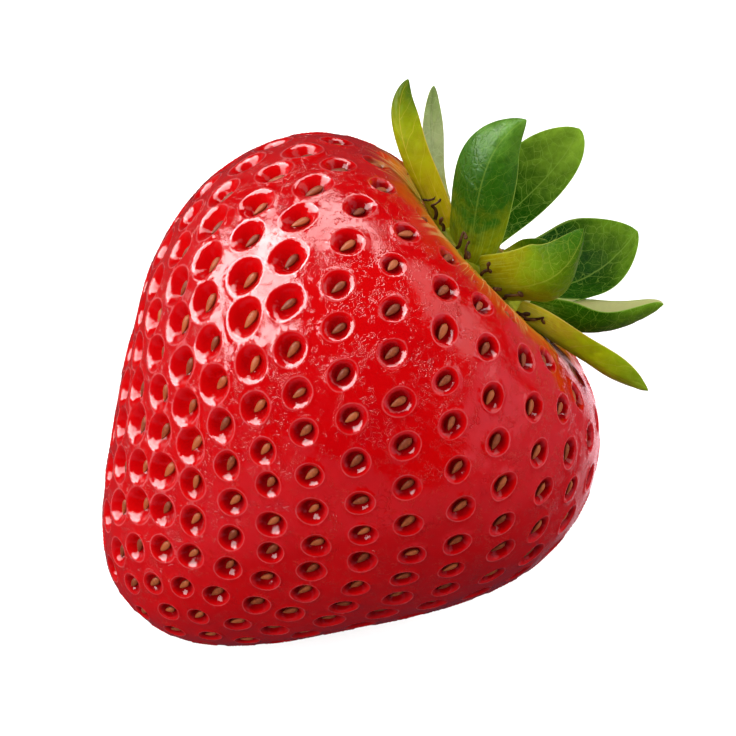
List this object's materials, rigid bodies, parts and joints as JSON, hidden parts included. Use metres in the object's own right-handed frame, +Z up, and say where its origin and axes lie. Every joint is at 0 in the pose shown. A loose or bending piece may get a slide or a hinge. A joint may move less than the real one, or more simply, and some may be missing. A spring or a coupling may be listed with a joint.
{
  "type": "strawberry",
  "caption": "Ripe heart-shaped strawberry lying on its side, with a leafy green calyx and dried stamens. Fresh fruit to show, serve or set on a table.",
  "frame": {"origin": "middle of the small flat on the fruit's side that it rests on", "axes": "+Z up from the surface it lies on; +X level, along the berry from the tip towards the calyx, which points up and to +X; +Y to the left of that, so that the frame is right-handed"},
  "size_m": [0.0522, 0.0429, 0.0422],
  "materials": {
    "flesh": "wet-looking gloss skin, deep red, with a paler orange ring at the calyx",
    "calyx_disc": "soft matt yellow-green plant tissue",
    "stalk": "matt green stalk with a dry pale cut",
    "sepal": "satin leaf, dark green with pale net veins, paler underneath",
    "bract": "satin leaf, yellow-green",
    "stamen": "dry brown plant fibre",
    "achene": "smooth hard tan to orange-brown seed husk"
  },
  "bodies": {
    "root": {"fruit": "flesh", "calyx_disc": "calyx_disc", "stem_stub": "stalk", "sepal_1": "sepal", "sepal_2": "sepal", "sepal_3": "sepal", "sepal_4": "sepal", "sepal_5": "sepal", "bract_1": "bract", "bract_2": "bract", "bract_3": "bract", "bract_4": "bract", "bract_5": "bract", "stamen_01": "stamen", "stamen_02": "stamen", "stamen_03": "stamen", "stamen_04": "stamen", "stamen_05": "stamen", "stamen_06": "stamen", "stamen_07": "stamen", "stamen_08": "stamen", "stamen_09": "stamen", "stamen_10": "stamen", "stamen_11": "stamen", "stamen_12": "stamen", "stamen_13": "stamen", "stamen_14": "stamen", "stamen_15": "stamen", "stamen_16": "stamen", "stamen_17": "stamen", "stamen_18": "stamen", "stamen_19": "stamen", "stamen_20": "stamen", "stamen_21": "stamen", "stamen_22": "stamen", "stamen_23": "stamen", "stamen_24": "stamen", "stamen_25": "stamen", "stamen_26": "stamen", "stamen_27": "stamen", "stamen_28": "stamen", "stamen_29": "stamen", "stamen_30": "stamen"}
  },
  "joints": []
}
